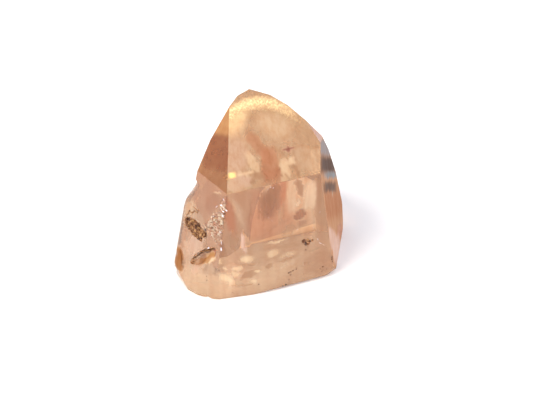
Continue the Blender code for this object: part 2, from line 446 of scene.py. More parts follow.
tones = numpy.tile(numpy.array(linear(OTHER_TONE[0])), (len(SKIN), 1))
veils = numpy.full(len(SKIN), OTHER_TONE[1])
likeness = {name: normals @ numpy.array(out_of(azimuth, tilt))
            for name, (azimuth, tilt, corner) in FACES.items()}
nearest = numpy.max(list(likeness.values()), axis=0)
for name, like in likeness.items():
    belongs = (like == nearest) & (like > FACE_LIKENESS)
    tones[belongs] = linear(FACE_TONES[name][0])
    veils[belongs] = FACE_TONES[name][1]
    print(name, "corners:", belongs.sum())

# %% [markdown]
# A stain, or a patch of painted light or shade, is one soft-edged shape on one face: a
# leaf with pointed ends, a round blob or a slab with blunt corners. A brush would do as
# well, but a written shape can be nudged by a tenth of a millimetre. In the notch and on
# the scar the surface turns too much for one face, so there a stain reaches all that is
# near the face's plane instead.

# %% How a stain or painted light is laid on
LEAF, BLOB, SLAB = 1.4, 2.2, 6.0      # how square a stain's outline is
SOFT = 0.22                           # how soft its edge is, as a share of its size
STAINED_LIKENESS = 0.88               # how alike a corner and the stained face are


def stain_and_light(kind, face, place, size, turn, strength, square=BLOB, soft=SOFT, near=0.0):
    """Blend a kind's tone and veil into a shape on one face, or on all that is near it.

    The place is across and up the face, the size is half the length and half the width,
    and the turn is in the face, in degrees."""
    azimuth, tilt, corner = FACES[face]
    turned = facing(azimuth, tilt) @ Matrix.Rotation(math.radians(turn), 4, "Z")
    middle = numpy.array(on_face(face, *place) / MM)
    along, across = ((points - middle) @ numpy.array(turned.col[side].xyz) / size[side]
                     for side in (0, 1))
    reach = (numpy.abs(along) ** square + numpy.abs(across) ** square) ** (1 / square)
    mask = numpy.clip((1 + soft - reach) / (2 * soft), 0, 1)
    depth = (points - middle) @ numpy.array(turned.col[2].xyz)
    reached = numpy.abs(depth) < near if near else likeness[face] > STAINED_LIKENESS
    mask = strength * mask * mask * (3 - 2 * mask) * reached
    tones[:] += mask[:, None] * (numpy.array(linear(kind[0])) - tones)
    veils[:] += mask * (kind[1] - veils)


def say_veiled(where):
    print("veiled share of the skin after the %s: %.3f" % (where, veils.mean()))


say_veiled("bare tones")

# %% [markdown]
# The big tip face is a window. An apricot flame stands in the middle of it, with painted
# light on either side, and small dark cracks cross it on the right, with painted shade and
# painted highlights about them. Its lower left corner has a painted pink sheen and a
# painted flash of gold. The left tip face is browner, and the right one has a pink veil
# of painted lavender sheen. Broad shades come first and the small marks that lie on them
# come last, as in any painting.

# %% Stains and painted light seen through the tip faces
stain_and_light(PINK_SHEEN, "tip", (3.0, 6.4), (2.4, 3.4), -12, 0.35, BLOB, 0.5)
stain_and_light(TAN, "tip", (16.3, 8.2), (3.0, 1.5), -36, 0.2, SLAB, 0.5)
stain_and_light(CREAM, "tip", (16.4, 3.1), (3.0, 2.0), -15, 0.5, SLAB, 0.15)
# the apricot flame, between two patches of painted light
stain_and_light(PAINTED_LIGHT, "tip", (6.0, 4.7), (2.3, 0.8), -67, 0.6, BLOB, 0.15)
stain_and_light(APRICOT, "tip", (7.9, 7.0), (3.6, 1.1), -66, 0.65, BLOB, 0.3)
stain_and_light(APRICOT, "tip", (9.2, 3.8), (1.6, 2.9), -2, 0.75, SLAB, 0.2)
stain_and_light(AMBER, "tip", (9.0, 1.2), (2.2, 1.4), -5, 0.5, SLAB, 0.3)
stain_and_light(PAINTED_LIGHT, "tip", (11.9, 2.4), (1.0, 2.0), -3, 0.7, BLOB, 0.15)
stain_and_light(PAINTED_LIGHT, "tip", (11.2, 0.1), (0.8, 0.9), -12, 0.5, BLOB, 0.15)
# cracks on the right, with painted shade in the hollows and painted highlights
stain_and_light(SHADE, "tip", (11.6, 0.9), (1.0, 0.2), -80, 0.7, LEAF, 0.3)
stain_and_light(SHADE, "tip", (13.9, 1.4), (2.1, 0.45), -80, 0.9, LEAF, 0.15)
stain_and_light(PAINTED_LIGHT, "tip", (13.6, 3.5), (0.8, 0.7), 7, 0.8)
stain_and_light(SHADE, "tip", (16.8, 5.4), (3.4, 0.25), -13, 0.6, LEAF)
stain_and_light(SHADE, "tip", (17.1, -0.3), (1.6, 0.3), -17, 0.7, LEAF)
stain_and_light(MAUVE, "tip", (13.3, 5.9), (1.5, 0.55), -4, 1.0, LEAF)
stain_and_light(MAUVE, "tip", (16.9, 12.0), (1.8, 0.25), -51, 0.6, LEAF)
# the lower left corner: painted pink sheen, painted shade, painted light and a painted
# flash of gold
stain_and_light(PINK_SHEEN, "tip", (2.5, 1.5), (2.6, 1.3), -3, 0.45)
stain_and_light(SHADE, "tip", (6.5, 2.0), (1.4, 0.5), -3, 0.8, LEAF)
stain_and_light(SHADE, "tip", (5.1, 1.3), (0.7, 0.5), -12, 0.9)
stain_and_light(PAINTED_LIGHT, "tip", (4.2, 2.9), (2.2, 0.35), -9, 0.8, LEAF)
stain_and_light(PAINTED_GLINT, "tip", (1.8, 3.2), (1.1, 0.45), 2, 1.0, LEAF, 0.4)
# the shoulder of the golden arc, as painted golden sheen and painted light
stain_and_light(GOLDEN_SHEEN, "tip", (4.4, 12.4), (2.8, 1.5), 38, 0.7, BLOB, 0.6)
stain_and_light(PAINTED_LIGHT, "tip", (11.6, 10.4), (3.6, 1.9), -31, 0.5, BLOB, 0.5)
# the left and right tip faces; the pink on the right one is painted lavender sheen
stain_and_light(OCHRE, "left_tip", (-5.4, 12.2), (3.0, 2.6), 77, 0.8, SLAB)
stain_and_light(BROWN, "left_tip", (-4.6, 6.6), (3.2, 2.9), 99, 1.0, SLAB)
stain_and_light(BROWN, "left_tip", (-3.5, 1.6), (3.0, 3.2), 94, 0.55, SLAB)
stain_and_light(BROWN, "left_tip", (-4.8, 5.2), (2.2, 1.3), 56, 0.6)
stain_and_light(PINK_SHEEN, "right_tip", (4.4, 11.5), (4.5, 2.5), -87, 0.8, SLAB)
say_veiled("tip faces")

# %% [markdown]
# Through the front one looks into the body of the crystal. Iron has coloured its middle
# amber, with a brown streak at the top, and upright cream veils stand to the right of
# it with brown gaps between them. Lines of painted shade lie along its edges and among
# the streaks, and a pink streak on the left is a painted highlight. Two pale patches
# brighten the foot first.

# %% Stains, painted light and painted shade seen through the front face
stain_and_light(BASE, "front", (-3.5, -24.0), (5.5, 3.6), 0, 0.9, BLOB, 0.5, 9.0)
stain_and_light(BASE, "front", (6.5, -22.8), (6.0, 3.4), 12, 0.6, BLOB, 0.5)
# a line of painted shade along the right edge
stain_and_light(SHADE, "front", (18.8, -8.0), (1.6, 8.5), 4, 0.9, SLAB, 0.4)
# the amber body
stain_and_light(TAN, "front", (2.9, -5.4), (6.0, 1.7), 87, 0.6, SLAB)
stain_and_light(AMBER, "front", (8.5, -8.7), (4.6, 4.9), -16, 0.6)
stain_and_light(AMBER, "front", (5.9, -6.3), (5.9, 1.4), 89, 0.5, SLAB)
stain_and_light(AMBER, "front", (9.8, -2.6), (3.2, 1.7), 81, 0.9, SLAB)
# the brown streak, thin ones beside it, and a line of painted shade
stain_and_light(BROWN, "front", (9.4, -2.0), (2.6, 1.1), 84, 0.8, LEAF)
stain_and_light(BROWN, "front", (7.7, -3.8), (2.4, 0.9), 80, 1.0, LEAF)
stain_and_light(BROWN, "front", (8.4, -4.2), (3.8, 2.2), 84, 1.0, BLOB, 0.4)
stain_and_light(PATCH, "front", (8.5, -3.2), (2.6, 0.7), 82, 0.8, LEAF, 0.5)
stain_and_light(PATCH, "front", (7.0, -4.0), (3.2, 0.45), 87, 0.6, LEAF, 0.5)
stain_and_light(PATCH, "front", (9.6, -1.9), (1.9, 0.25), 80, 0.5, LEAF)
stain_and_light(BROWN, "front", (6.0, -4.5), (3.2, 0.3), 83, 0.7, LEAF)
stain_and_light(BROWN, "front", (4.4, -5.5), (3.6, 0.3), 86, 0.6, LEAF)
stain_and_light(SHADE, "front", (10.6, -7.6), (2.6, 0.5), 86, 0.7, LEAF)
# along the left edge: amber, and a line of painted shade
stain_and_light(AMBER, "front", (0.5, -6.2), (6.0, 1.0), -83, 0.95, LEAF)
stain_and_light(SHADE, "front", (0.9, -12.0), (3.2, 0.8), -86, 0.8, LEAF)
# cream veils on the right, the brown gaps in them, and painted shade below them
stain_and_light(CREAM, "front", (12.7, -4.3), (3.7, 0.9), 89, 0.5, SLAB)
stain_and_light(AMBER, "front", (11.3, -3.2), (1.7, 0.5), 81, 0.8, LEAF)
stain_and_light(CREAM, "front", (16.3, -4.8), (3.4, 1.3), 89, 0.8, SLAB)
stain_and_light(PATCH, "front", (14.3, -2.4), (2.4, 0.7), -75, 0.8, LEAF, 0.12)
stain_and_light(CREAM, "front", (14.0, -5.9), (1.0, 0.4), 82, 1.0, LEAF)
stain_and_light(BROWN, "front", (14.4, -8.8), (1.3, 1.1), 43, 0.95, BLOB, 0.12)
stain_and_light(BROWN, "front", (14.7, -11.0), (1.0, 0.7), -16, 0.7)
stain_and_light(SHADE, "front", (12.1, -12.3), (1.2, 1.2), -17, 0.8)
# pale wisps on the left, and a pink streak that is a painted highlight
stain_and_light(CREAM, "front", (1.4, -2.8), (2.8, 0.6), -75, 0.5, LEAF, 0.5)
stain_and_light(CREAM, "front", (2.6, -6.0), (3.4, 0.6), -80, 0.5, LEAF, 0.5)
stain_and_light(PINK_SHEEN, "front", (2.8, -12.7), (2.8, 0.6), -81, 1.0, LEAF)
say_veiled("front face")

# %% [markdown]
# Low on the front the broken foot is seen through the glass, as small patches of painted
# light with painted shade in the hollows between them. A rough foot would give such light
# and shade by itself, but not where they are wanted, so they are laid on as colour.

# %% Painted light, painted shade and stains low on the front, where the foot shows through
# the right half
stain_and_light(PAINTED_LIGHT, "front", (9.5, -14.2), (2.4, 0.45), -2, 0.7, LEAF)
stain_and_light(SHADE, "front", (11.3, -15.9), (4.8, 0.5), -5, 0.6, LEAF)
stain_and_light(PAINTED_LIGHT, "front", (8.8, -16.9), (1.4, 0.8), 1, 0.75, BLOB, 0.4)
stain_and_light(PAINTED_LIGHT, "front", (11.8, -18.3), (2.0, 0.5), 8, 0.5, LEAF)
stain_and_light(SHADE, "front", (11.6, -19.4), (2.2, 0.5), 15, 0.8, LEAF)
stain_and_light(CREAM, "front", (12.4, -20.6), (2.4, 0.7), 25, 0.7, LEAF)
# painted shade in the hollows on the left, and one small painted light
stain_and_light(SHADE, "front", (8.0, -20.1), (1.1, 0.6), 15, 0.9, LEAF)
stain_and_light(SHADE, "front", (4.0, -18.7), (2.2, 0.35), -3, 0.8, LEAF)
stain_and_light(SHADE, "front", (4.2, -21.3), (2.6, 0.9), 29, 0.9, LEAF)
stain_and_light(PAINTED_LIGHT, "front", (5.8, -20.6), (0.7, 0.3), -6, 0.8, LEAF)
stain_and_light(SHADE, "front", (0.1, -17.6), (1.5, 0.3), -70, 0.7, LEAF)
stain_and_light(SHADE, "front", (2.4, -24.1), (3.4, 0.3), -12, 0.7, LEAF)
# patches of painted light on the left
stain_and_light(PAINTED_LIGHT, "front", (3.4, -17.2), (1.4, 1.0), -18, 0.9, BLOB, 0.6)
stain_and_light(PAINTED_LIGHT, "front", (1.6, -19.4), (0.9, 0.7), -18, 0.85, BLOB, 0.6)
stain_and_light(PAINTED_LIGHT, "front", (-2.0, -16.4), (1.3, 0.5), -67, 0.8, BLOB, 0.4)
stain_and_light(PAINTED_LIGHT, "front", (-0.6, -21.7), (2.0, 0.85), -44, 0.9, BLOB, 0.6)
stain_and_light(PAINTED_LIGHT, "front", (1.2, -20.7), (1.2, 0.5), -18, 0.8, LEAF)
stain_and_light(PAINTED_LIGHT, "front", (-0.7, -19.0), (0.9, 0.35), -39, 0.8, LEAF)
stain_and_light(PAINTED_LIGHT, "front", (4.7, -23.5), (0.9, 0.5), -39, 0.75, BLOB, 0.6)
# the right corner of the foot: a tan stain and painted shade
stain_and_light(TAN, "front", (18.7, -22.4), (3.2, 3.0), -18, 0.7)
stain_and_light(SHADE, "front", (16.0, -21.8), (0.7, 0.6), -18, 0.9)
say_veiled("low front")

# %% [markdown]
# The left side is pinker, by a painted pink sheen on the swelling, where painted light lies
# too. On the swelling there is a brown scar at the left rim, and below the pit a notch
# that was broken out: ochre inside, dark along its upper edge, where iron stain and
# painted shade under the overhang lie together, and rusty in its right corner.

# %% Stains, painted light and painted shade on the left side
# above the drusy patch, with a line of painted light
stain_and_light(BROWN, "left", (-3.1, -4.0), (3.0, 1.9), 66, 0.5)
stain_and_light(PAINTED_LIGHT, "left", (-1.9, -0.9), (1.5, 0.2), 8, 0.6, LEAF)
stain_and_light(CREAM, "left", (-2.2, -4.6), (3.2, 0.5), 58, 0.4, LEAF, 0.5)
# the swelling's painted pink sheen and painted light, and the scar on its rim
stain_and_light(PINK_SHEEN, "swelling", (-7.3, -15.2), (3.6, 1.9), 67, 0.45, BLOB, 0.5)
stain_and_light(PAINTED_LIGHT, "swelling", (-9.6, -8.4), (2.6, 1.3), 75, 0.45, BLOB, 0.5)
stain_and_light(UMBER, "swelling", (-11.2, -21.0), (2.9, 1.2), 85, 0.9, SLAB, 0.15, 3.0)
stain_and_light(DARK, "swelling", (-10.2, -20.6), (2.3, 0.3), -75, 0.7, LEAF, 0.3, 3.0)
# the notch: its dark upper edge is iron stain and painted shade under the overhang, and
# the pale leaf is painted light
stain_and_light(MILKY, "swelling", (-7.0, -20.9), (1.8, 0.8), 75, 0.6, BLOB, 0.2, 2.0)
stain_and_light(OCHRE, "swelling", (-4.4, -17.1), (2.2, 1.3), 48, 0.9, BLOB, 0.3, 3.0)
stain_and_light(PATCH, "swelling", (-6.0, -18.7), (1.5, 0.8), 84, 0.85, BLOB, 0.3, 3.0)
stain_and_light(PAINTED_LIGHT, "swelling", (-3.4, -17.4), (1.7, 0.25), 58, 0.8, LEAF, 0.3, 3.0)
stain_and_light(DARK, "swelling", (-7.0, -18.2), (2.1, 0.22), 50, 0.9, LEAF, 0.3, 3.0)
stain_and_light(DARK, "swelling", (-5.0, -16.3), (1.3, 0.45), 33, 1.0, LEAF, 0.3, 3.0)
stain_and_light(RUST, "swelling", (-3.3, -14.9), (1.4, 0.35), 50, 1.0, LEAF, 0.3, 3.0)
stain_and_light(RUST, "swelling", (-2.8, -15.4), (0.4, 0.4), 0, 0.9, BLOB, 0.25, 3.0)
say_veiled("left side")

# %% [markdown]
# Near its top the right face has slanting bands of dark grey and blue-grey: painted
# reflections of dark surroundings, laid on as colour. Below it is warm brown, with a
# painted pink sheen. It is seen at a flat angle, so wide bands look narrow.
# Last, the finished tones and veils are stored on the mesh for the material to read.

# %% Bands of painted reflection and stains on the right face
# the warm lower part, with a painted pink sheen
stain_and_light(SIDE, "right", (9.0, -10.1), (2.8, 12.0), 52, 0.85, SLAB, 0.4)
stain_and_light(CREAM, "right", (9.0, -6.2), (1.6, 0.5), 60, 0.7, LEAF, 0.3)
stain_and_light(AMBER, "right", (12.0, -19.8), (1.6, 4.0), 52, 0.5)
stain_and_light(PINK_SHEEN, "right", (2.2, -13.9), (2.0, 4.5), 39, 0.5, SLAB)
stain_and_light(PINK_SHEEN, "right", (6.0, -20.0), (3.0, 5.0), 52, 0.6)
# the bands of painted reflection, from the top
stain_and_light(GREY_REFLECTION, "right", (8.0, 4.8), (1.5, 10.0), 52, 1.0, SLAB, 0.4)
stain_and_light(DARK_GREY_REFLECTION, "right", (8.0, 0.7), (1.6, 10.0), 52, 1.0, SLAB, 0.4)
stain_and_light(BLUE_GREY_REFLECTION, "right", (9.5, -3.0), (0.6, 8.0), 52, 1.0, BLOB, 0.6)
stain_and_light(DARK_GREY_REFLECTION, "right", (7.0, -4.0), (1.0, 8.0), 52, 0.9, SLAB, 0.5)
say_veiled("right face")

tone_layer = quartz.data.color_attributes.new("tone", "FLOAT_COLOR", "CORNER")
tone_layer.data.foreach_set("color", tones.astype(numpy.float32).ravel())
veil_layer = quartz.data.attributes.new("veil", "FLOAT", "CORNER")
veil_layer.data.foreach_set("value", veils.astype(numpy.float32))

# %% [markdown]
# ## Clear peach quartz
# Quartz is glass-clear with an index of refraction of 1.544. Fine upright streaks run
# along its natural faces. The rear sides carry faint brown growth bands, about 3 mm
# wide, and the broken foot is a patchwork of cream and tan. All of these multiply the
# stored tone. One glass shader does it: layers of glass would look richer, but they
# render dark where they touch.

# %% Tone, streaks, bands and patches
BAND_WIDTH, PATCH_WIDTH, STREAK_WIDTH = 3.03, 3.846, 1.111   # mm

clear_quartz, tree, shader = new_material("clear_peach_quartz_natural_faces")
place = add(tree, "ShaderNodeTexCoord").outputs["Object"]
frost, foot, rear, tip, veil = (
    add(tree, "ShaderNodeAttribute", attribute_name=name).outputs["Fac"]
    for name in ("frost", "foot", "rear", "tip", "veil"))
stains_and_painted_light = add(tree, "ShaderNodeAttribute", attribute_name="tone").outputs["Color"]


def mottling(size, stretch, stops, turn=0, **settings):
    """A noise whose grains have a size in mm, drawn out along the axes where the stretch
    is below one, turned by some degrees and coloured between its stops."""
    drawn = add(tree, "ShaderNodeMapping", {
        "Vector": place, "Rotation": (0, 0, math.radians(turn)), "Scale": stretch})
    mottled = add(tree, "ShaderNodeTexNoise", {
        "Vector": drawn.outputs[0], "Scale": grains_of(size), **settings})
    return add(tree, "ShaderNodeValToRGB", {"Fac": mottled.outputs["Fac"]}, stops).outputs[0]


banded = mottling(BAND_WIDTH, (1, 1, 0.12), ((0.38, "E3BE9F"), (0.6, "FFFFFF")),
                  Detail=3.0, Roughness=0.6)
patched = mottling(PATCH_WIDTH, (0.45, 1, 1), ((0.4, "E8C49C"), (0.62, "FFF6DC")), turn=-25,
                   Detail=4.0, Distortion=0.6)
streaked = mottling(STREAK_WIDTH, (1, 1, 0.07), ((0.35, "F1E4DA"), (0.6, "FFFFFF")),
                    Detail=4.0, Roughness=0.65)
on_rear = add(tree, "ShaderNodeMix", {0: rear, 6: (1, 1, 1, 1), 7: banded},
              data_type="RGBA")
on_foot = add(tree, "ShaderNodeMix", {0: foot, 6: on_rear.outputs[2], 7: patched},
              data_type="RGBA")
grown = add(tree, "ShaderNodeMix", {0: 1.0, 6: stains_and_painted_light, 7: streaked},
            data_type="RGBA", blend_type="MULTIPLY")
tint = add(tree, "ShaderNodeMix", {0: 1.0, 6: on_foot.outputs[2], 7: grown.outputs[2]},
           data_type="RGBA", blend_type="MULTIPLY")
print("nodes for the tint:", len(tree.nodes))

# %% [markdown]
# Just under the big tip face a healed crack curves in an arc, and the light it throws back
# is painted as a golden glow, like gold dust. A bent sheet inside the glass would show its
# edges and seem to lie elsewhere. So the arc is worked out in the material: a ring about
# a point on that face, stronger above, thinner to the right, and broken into specks that
# run between two golds. Where it is strong the glass is no longer clear, and the painted
# glow shows instead.

# %% The golden arc, with its shine painted as colour
ARC_AT = (8.3, 6.6)              # across and up the tip face
ARC_INNER = (6.0, 8.9)           # mm from that point, from faint to full strength
ARC_OUTER = (9.1, 10.8)          # and from full strength to faint
ARC_HEIGHT = (32.5, 37.5)        # it gains strength between these heights
ARC_THINS = (-0.5, 8.5)          # and loses some between these x
ARC_VEIL = 0.92
SPECK_SIZE = 0.3846
SPECK_EDGE, SPECK_LEAST = (0.36, 0.66), 0.7

away = add(tree, "ShaderNodeVectorMath", {0: place, 1: on_face("tip", *ARC_AT)},
           operation="DISTANCE").outputs["Value"]
spot = add(tree, "ShaderNodeSeparateXYZ", {"Vector": place})
specks = add(tree, "ShaderNodeTexNoise", {
    "Vector": place, "Scale": grains_of(SPECK_SIZE), "Detail": 3.0, "Distortion": 0.8})
haze = tip
for measured, (low, high), before, after in (
        (away, ARC_INNER, 0.06, 1.0),
        (away, ARC_OUTER, 1.0, 0.05),
        (spot.outputs["Z"], ARC_HEIGHT, 0.2, 1.0),
        (spot.outputs["X"], ARC_THINS, 1.0, 0.6)):
    part = add(tree, "ShaderNodeMapRange", {
        "Value": measured, "From Min": low * MM, "From Max": high * MM,
        "To Min": before, "To Max": after}, interpolation_type="SMOOTHSTEP")
    haze = add(tree, "ShaderNodeMath", {0: haze, 1: part.outputs[0]},
               operation="MULTIPLY").outputs[0]
speckled = add(tree, "ShaderNodeMapRange", {
    "Value": specks.outputs["Fac"], "From Min": SPECK_EDGE[0], "From Max": SPECK_EDGE[1],
    "To Min": SPECK_LEAST})
haze = add(tree, "ShaderNodeMath", {0: haze, 1: speckled.outputs[0]},
           operation="MULTIPLY").outputs[0]
gold_dust_and_glow = add(tree, "ShaderNodeValToRGB", {"Fac": specks.outputs["Fac"]},
           stops=((0.38, "EFC289"), (0.66, "FFE3A6")))
golden = add(tree, "ShaderNodeMix", {0: haze, 6: tint.outputs[2], 7: gold_dust_and_glow.outputs[0]},
             data_type="RGBA")
tree.links.new(golden.outputs[2], shader.inputs["Base Color"])
hazy = add(tree, "ShaderNodeMath", {0: haze, 1: ARC_VEIL}, operation="MULTIPLY")
covered = add(tree, "ShaderNodeMath", {0: hazy.outputs[0], 1: veil}, operation="MAXIMUM")
clear = add(tree, "ShaderNodeMath", {0: 1.0, 1: covered.outputs[0]}, operation="SUBTRACT")
tree.links.new(clear.outputs[0], shader.inputs["Transmission Weight"])
print("arc about, mm:", [round(part / MM, 1) for part in on_face("tip", *ARC_AT)])

# %% [markdown]
# The frosted faces scatter what crosses them, and slow waves bend it, so nothing behind
# the crystal is seen sharply through it. A little of the light is absorbed on the way,
# so that thick places are deeper in colour: the absorption colour is what white light
# turns to.

# %% Frost, waves and depth of colour
POLISHED, FROSTED = 0.015, 0.42              # roughness
WAVE_WIDTH, WAVE_HEIGHT = 4.762, 0.8         # mm
WAVES_REAR, WAVES_FOOT = 0.15, 0.8           # how strongly the waves show
DEPTH_COLOUR, DEPTH_DENSITY = (0.84, 0.46, 0.18, 1.0), 6.0
QUARTZ_IOR = 1.544

matte = add(tree, "ShaderNodeMath", {0: frost, 1: FROSTED}, operation="MULTIPLY")
polish = add(tree, "ShaderNodeMath", {0: matte.outputs[0], 1: POLISHED}, operation="ADD")
tree.links.new(polish.outputs[0], shader.inputs["Roughness"])
shader.inputs["IOR"].default_value = QUARTZ_IOR

waves = add(tree, "ShaderNodeTexNoise", {
    "Vector": place, "Scale": grains_of(WAVE_WIDTH), "Detail": 2.0})
wavy = add(tree, "ShaderNodeMapRange", {
    "Value": foot, "To Min": WAVES_REAR, "To Max": WAVES_FOOT})
wavy = add(tree, "ShaderNodeMath", {0: wavy.outputs[0], 1: frost}, operation="MULTIPLY")
relief = add(tree, "ShaderNodeBump", {
    "Height": waves.outputs["Fac"], "Strength": wavy.outputs[0], "Distance": WAVE_HEIGHT * MM})
tree.links.new(relief.outputs[0], shader.inputs["Normal"])
depth_tint = add(tree, "ShaderNodeVolumeAbsorption",
                 {"Color": DEPTH_COLOUR, "Density": DEPTH_DENSITY})
tree.links.new(depth_tint.outputs[0], tree.nodes["Material Output"].inputs["Volume"])
quartz.data.materials.clear()
quartz.data.materials.append(clear_quartz)
print("quartz material nodes:", len(tree.nodes))

# %% [markdown]
# The right face is etched, and so is the scar on the left rim: both have lost their
# shine. At a flat angle even rough glass shines, so roughness alone won't do. Their
# material is a copy of the clear one with no reflection, given to the cells that face
# that way or lie in the scar. On the right face, grey bands painted into the tone stand
# in for the reflection.

# %% The etched cells
SCAR_AT, SCAR_REACH = on_face("swelling", -11.4, -21.0) / MM, Vector((1.6, 2.6, 3.0))
SIDE_OUT = out_of(*FACES["right"][:2])

etched_quartz = clear_quartz.copy()
etched_quartz.name = "etched_quartz_side_painted_reflection"
dull = etched_quartz.node_tree.nodes["Principled BSDF"]
dull.inputs["Specular IOR Level"].default_value = 0.0
quartz.data.materials.append(etched_quartz)
for face in quartz.data.polygons:
    face.material_index = int(face.normal.dot(SIDE_OUT) > FACE_LIKENESS
                              or in_ball(face.center / MM, SCAR_AT, SCAR_REACH))
print("etched cells:", sum(face.material_index for face in quartz.data.polygons))
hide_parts("quartz_point")
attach(quartz, "root")

# %% [markdown]
# ## Small things
# Glints, crystals, grains and specks come in dozens or hundreds. Each kind is made one
# by one from a small shape, and then joined as one piece that rides with the crystal.
# Instances would be lighter, but an export can drop them.


# %% Joining
def join(pieces, name, finish):
    bpy.ops.object.select_all(action="DESELECT")
    for item in pieces:
        item.select_set(True)
    bpy.context.view_layer.objects.active = pieces[0]
    bpy.ops.object.join()
    piece = bpy.context.object
    piece.name = name
    piece.data.materials.clear()
    piece.data.materials.append(finish)
    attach(piece, "root")
    print(name, "faces:", len(piece.data.polygons))


print("they ride with", quartz.name)

# %% [markdown]
# ## Glints
# Tiny flat cracks and crystal steps throw the light back like mirrors. Each is a thin
# flake, from two tenths of a millimetre to about two millimetres long, made from a
# flattened ball of twenty faces. Inside the glass a flake is turned to send the soft
# light from the upper left towards the front. On a face it would then stand out like a
# fin, so there its long side lies in the face, and it is only rolled about that side.

# %% Flakes that catch the light
THIN = 0.03


def flat_flake(size):
    bpy.ops.object.select_all(action="DESELECT")
    bpy.ops.mesh.primitive_ico_sphere_add(subdivisions=1, radius=1.0)
    made = bpy.context.object
    made.scale = (size[0] * MM, size[1] * MM, THIN * MM)
    bpy.ops.object.transform_apply()
    return made


def flake(place, size, azimuth, tilt, turn):
    made = flat_flake(size)
    turned = Matrix.Rotation(math.radians(turn), 4, "Z")
    made.data.transform(Matrix.Translation(place) @ facing(azimuth, tilt) @ turned)
    return made


def flake_on(face, across, up, size, turn, towards):
    """A flake whose long side lies in the face, rolled about it towards a direction."""
    azimuth, tilt, corner = FACES[face]
    lying = facing(azimuth, tilt) @ Matrix.Rotation(math.radians(turn), 4, "Z")
    long_side, wanted = lying.col[0].xyz, out_of(*towards)
    out = (wanted - wanted.dot(long_side) * long_side).normalized()
    roll = math.atan2(-out.dot(lying.col[1].xyz), out.dot(lying.col[2].xyz))
    made = flat_flake(size)
    made.data.transform(Matrix.Translation(on_face(face, across, up)) @ lying
                        @ Matrix.Rotation(roll, 4, "X"))
    return made


print("a flake is %.2f mm thick" % (2 * THIN))

# %% [markdown]
# A crack in quartz is a thin film of air, which can shine as brightly as metal. So the
# flakes get a metal's shader: golden in the tip, where the glass is stained, and
# blue-white on the steps. Their gloss varies, so that some flash and some only glow.

# %% Crack and step mirrors
MOTTLE_SIZE = 0.4
MOTTLE_RANGE = (0.6, 1.4)        # as shares of the gloss


def mirror(name, colour, gloss):
    made, tree, shader = new_material(name)
    here = add(tree, "ShaderNodeTexCoord").outputs["Object"]
    mottle = add(tree, "ShaderNodeTexNoise", {"Vector": here, "Scale": grains_of(MOTTLE_SIZE)})
    mottled = add(tree, "ShaderNodeMapRange", {
        "Value": mottle.outputs["Fac"], "To Min": gloss * MOTTLE_RANGE[0],
        "To Max": gloss * MOTTLE_RANGE[1]})
    tree.links.new(mottled.outputs[0], shader.inputs["Roughness"])
    shader.inputs["Base Color"].default_value = linear(colour)
    shader.inputs["Metallic"].default_value = 1.0
    return made


gold_leaf = mirror("golden_crack_mirror", "FFE9AE", 0.3)
pale_leaf = mirror("pale_step_mirror", "EDF0FF", 0.28)
print("mirrors:", gold_leaf.name, "and", pale_leaf.name)

# %% [markdown]
# Flakes follow the arc just under the tip face, denser to its left, and a small bunch
# of them flashes at the face's lower left corner. They are scattered by chance, with a
# seed that never changes.

# %% Golden glints
GLINT_SEED = 5
ARC_FLAKES, CORNER_FLAKES = 90, 26
ARC_RADIUS = 8.7
CORNER_GLINTS = (1.6, 3.1)       # across and up the tip face
GOLD_FACING = (-6, 45)

chance = random.Random(GLINT_SEED)
flakes = []
for number in range(ARC_FLAKES):
    angle = math.radians(chance.triangular(36, 131, 105))
    reach = ARC_RADIUS + chance.gauss(0, 0.55)
    place = on_face("tip", ARC_AT[0] + reach * math.cos(angle),
                    ARC_AT[1] + reach * math.sin(angle), chance.uniform(0.6, 1.2))
    flakes.append(flake(place, (chance.uniform(0.1, 0.3), chance.uniform(0.06, 0.16)),
                        GOLD_FACING[0] + chance.gauss(0, 7), GOLD_FACING[1] + chance.gauss(0, 7),
                        chance.uniform(0, 180)))
for number in range(CORNER_FLAKES):
    place = on_face("tip", chance.gauss(CORNER_GLINTS[0], 0.35),
                    chance.gauss(CORNER_GLINTS[1], 0.25), 0.9)
    flakes.append(flake(place, (chance.uniform(0.2, 0.5), 0.16),
                        GOLD_FACING[0] + chance.gauss(0, 5), GOLD_FACING[1] + chance.gauss(0, 5),
                        chance.uniform(-20, 20)))
join(flakes, "golden_glints", gold_leaf)

# %% [markdown]
# Growth steps on the left edge and the rims of the pit shine blue-white. The larger
# steps are cut in the CAD solid, but what flashes is a line a few tenths of a millimetre
# wide or less. So pale flakes are laid there, and as they are few, one by one.

# %% Step glints
STEPS = (  # across and up the left face, half length, half width, turn
    (-0.6, -3.4, 1.1, 0.12, -24), (-1.0, -4.2, 0.7, 0.07, -24), (-0.8, -5.2, 0.5, 0.24, -50),
    (-1.6, -4.6, 0.3, 0.1, -20), (-1.3, -9.4, 0.35, 0.3, 67), (-4.2, -14.9, 0.45, 0.18, 43),
    (-0.9, -13.4, 0.5, 0.16, 95), (-0.7, -1.6, 0.35, 0.06, -50), (-10.7, -12.2, 0.7, 0.14, 100),
    (-10.2, -13.2, 0.3, 0.12, -40), (-11.6, -5.4, 0.2, 0.1, 90), (-10.3, -4.6, 0.2, 0.08, 90),
    (-0.9, -11.8, 0.5, 0.05, 93), (-2.4, -4.0, 0.4, 0.05, 55), (-3.0, -6.5, 0.4, 0.05, 60))
PALE_FACING = (-32, 38)

join([flake_on("left", across, up, (length, width), turn, PALE_FACING)
      for across, up, length, width, turn in STEPS], "step_glints", pale_leaf)

# %% [markdown]
# ## Drusy patch
# Between the pit and the front edge the left face is crusted with hundreds of tiny
# quartz crystals, sugary and half clear, from tan to cream. A bump in the glass would
# be cheaper, but only real facets sparkle, so the crystals are modelled.

# %% Drusy quartz
CLOUD_SIZE = 1.111

